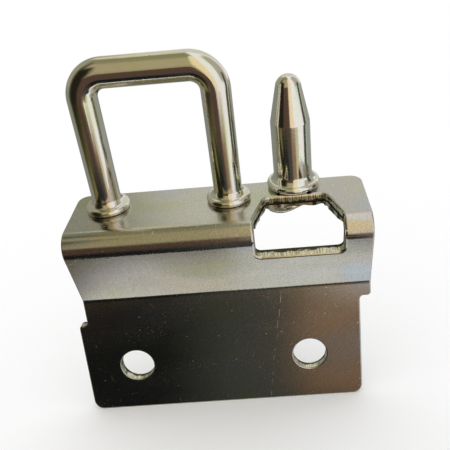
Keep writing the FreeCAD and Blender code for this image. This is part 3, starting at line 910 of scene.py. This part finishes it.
# Camera
CAMERA_AT = Vector((19.275, -158.709, 97.801)) * MM
CAMERA_TURN = 2.349                   # degrees to the left of straight ahead
CAMERA_DOWN = 19.67
CAMERA_ROLL = -5.133
CAMERA_LENS = 47.56
CAMERA_SHIFT = (-0.0645, 0.0023)
bpy.ops.object.camera_add()
camera = bpy.context.object
camera.matrix_world = (
    Matrix.Translation(CAMERA_AT)
    @ Matrix.Rotation(math.radians(CAMERA_TURN), 4, "Z")
    @ Matrix.Rotation(math.radians(90 - CAMERA_DOWN), 4, "X")
    @ Matrix.Rotation(math.radians(CAMERA_ROLL), 4, "Z"))
camera.data.lens = CAMERA_LENS
camera.data.sensor_width = 36
camera.data.clip_start = MM
camera.data.shift_x, camera.data.shift_y = CAMERA_SHIFT

scene = bpy.context.scene
scene.camera = camera
scene.view_settings.view_transform = "Standard"
world = bpy.data.worlds.new("studio")
world.use_nodes = True
scene.world = world
world.node_tree.nodes["Background"].inputs["Color"].default_value = (1, 1, 1, 1)

# The floor is as pale as the light round it, so that no horizon shows. The metal doesn't mirror
# it: the cards show there in its place.
FLOOR_SIZE = 20                       # metres
bpy.ops.mesh.primitive_plane_add(size=FLOOR_SIZE, location=(0, 0, cad_box[0].z))
floor = bpy.context.object
floor.name = "floor"
floor.visible_glossy = False
paint = bpy.data.materials.new("white_table")
paint.use_nodes = True
matt = paint.node_tree.nodes["Principled BSDF"]
matt.inputs["Base Color"].default_value = linear("#FFFFFF")
matt.inputs["Roughness"].default_value = 1
matt.inputs["Specular IOR Level"].default_value = 0
floor.data.materials.append(paint)

# The plating mirrors what stands round the part, so soft-edged cards stand on a sphere round it:
# name, azimuth from and to, elevation from and to, blur, colour. All angles are in degrees;
# azimuth 0 is the camera's side and 90 is +X. Later cards stand nearer and cover earlier ones.
CARD_MIDDLE = Vector((0, 0, 40)) * MM
CARD_REACH = 360 * MM
CARD_STEP = 6 * MM
CARD_GRID = 24
CARDS = [
    ("back_high", 134, 212, 20, 76, 10, "#DFE0D6"),
    ("left_high", -160, -80, 0, 84, 18, "#A2A390"),
    ("low_back", 100, 260, -74, -36, 12, "#8F8B78"),
    ("back_level", 158, 202, -50, 8, 14, "#3A3A30"),
    ("overhead", -140, 24, 60, 90, 14, "#8F8F6C"),
    ("left_bright", -166, -132, 52, 76, 10, "#E2E0C4"),
    ("left_level", -172, -80, -40, 12, 10, "#8F9289"),
    ("right_level", 103, 172, -38, 10, 10, "#A3A6A1"),
    ("right_high", 62, 122, 4, 66, 12, "#B9B5A6"),
    ("behind_camera", -90, 12, -62, 66, 8, "#6B6448"),
    ("right_olive", 22, 50, -46, -22, 8, "#CFCBA6"),
    ("front_high", -60, 10, 4, 66, 18, "#B4AA84"),
    ("dark_left", -80, -32, -22, 46, 16, "#26251B"),
    ("olive_left", -94, -40, -50, -25, 10, "#7A734B"),
    ("brown_front", -36, 2, -42, 4, 6, "#5A463D"),
    ("brown_low_right", 5, 32, -70, -27, 9, "#927760"),
    ("black_low", -50, 34, -60, -45, 8, "#202225"),
    ("cream_edge", 3, 26, -20, 72, 6, "#FFEBC4"),
    ("right_line", 84, 101, -46, 26, 5, "#3F4C3C"),
    ("table", -180, 180, -90, -69, 4, "#ECE8DC"),
    ("table_right", -8, 80, -84, -66, 8, "#F6FAF8"),
]


def sphere(reach):
    """Places on a sphere round the part, by azimuth and elevation in degrees."""
    def place_of(azimuth, elevation):
        turn, lift = math.radians(azimuth), math.radians(elevation)
        level = reach * math.cos(lift)
        return CARD_MIDDLE + Vector((level * math.sin(turn), -level * math.cos(turn),
                                     reach * math.sin(lift)))
    return place_of


def level_sheet(height):
    """Places on a level sheet at a height, by x and y, in millimetres."""
    return lambda x, y: Vector((x, y, height)) * MM


def upright_sheet(y):
    """Places on an upright sheet across the view, by x and z, in millimetres."""
    return lambda x, z: Vector((x, y, z)) * MM


def card(place_of, name, left, right, low, high, blur, colour):
    """A glowing card, seen only in the metal, that fades out at its edges."""
    bpy.ops.mesh.primitive_grid_add(x_subdivisions=CARD_GRID, y_subdivisions=CARD_GRID, size=2)
    patch = named("card_" + name)
    half_width, half_height = (right - left + blur) / 2, (high - low + blur) / 2
    for vertex in patch.data.vertices:
        vertex.co = place_of((left + right) / 2 + vertex.co.x * half_width,
                             (low + high) / 2 + vertex.co.y * half_height)
    material = bpy.data.materials.new(patch.name)
    material.use_nodes = True
    tree = material.node_tree
    tree.nodes.clear()
    place = add_node(tree, "ShaderNodeTexCoord")
    axes = add_node(tree, "ShaderNodeSeparateXYZ", _0=place.outputs["UV"])
    fades = []
    for axis, half in (("X", half_width), ("Y", half_height)):
        aside = add_node(tree, "ShaderNodeMath", SUBTRACT, _0=axes.outputs[axis], _1=0.5)
        away = add_node(tree, "ShaderNodeMath", ABSOLUTE, _0=aside)
        fades.append(add_node(tree, "ShaderNodeMapRange", SOFT, Value=away, From_Min=0.5,
                              From_Max=0.5 - blur / (2 * half)))
    shown = add_node(tree, "ShaderNodeMath", MULTIPLY, _0=fades[0], _1=fades[1])
    clear = add_node(tree, "ShaderNodeBsdfTransparent")
    glow = add_node(tree, "ShaderNodeEmission", Color=linear(colour))
    mix = add_node(tree, "ShaderNodeMixShader", _0=shown, _1=clear, _2=glow)
    add_node(tree, "ShaderNodeOutputMaterial", Surface=mix)
    patch.data.materials.append(material)
    patch.visible_camera = patch.visible_diffuse = patch.visible_shadow = False


for place_in_row, row in enumerate(CARDS):
    card(sphere(CARD_REACH - CARD_STEP * place_in_row), *row)
# One flat card lies under the camera, where its straight edge ends the dark band along the fold,
# and two stand close in front of the flange. Their rows are in millimetres.
card(level_sheet(-186), "black_edge", -122, 100, -150, -76, 10, "#202225")
card(upright_sheet(-105), "grey_below", -60, 24, -130, -16, 24, "#484A46")
card(upright_sheet(-100), "dark_below", -140, -22, -130, -20, 44, "#1B1D1E")
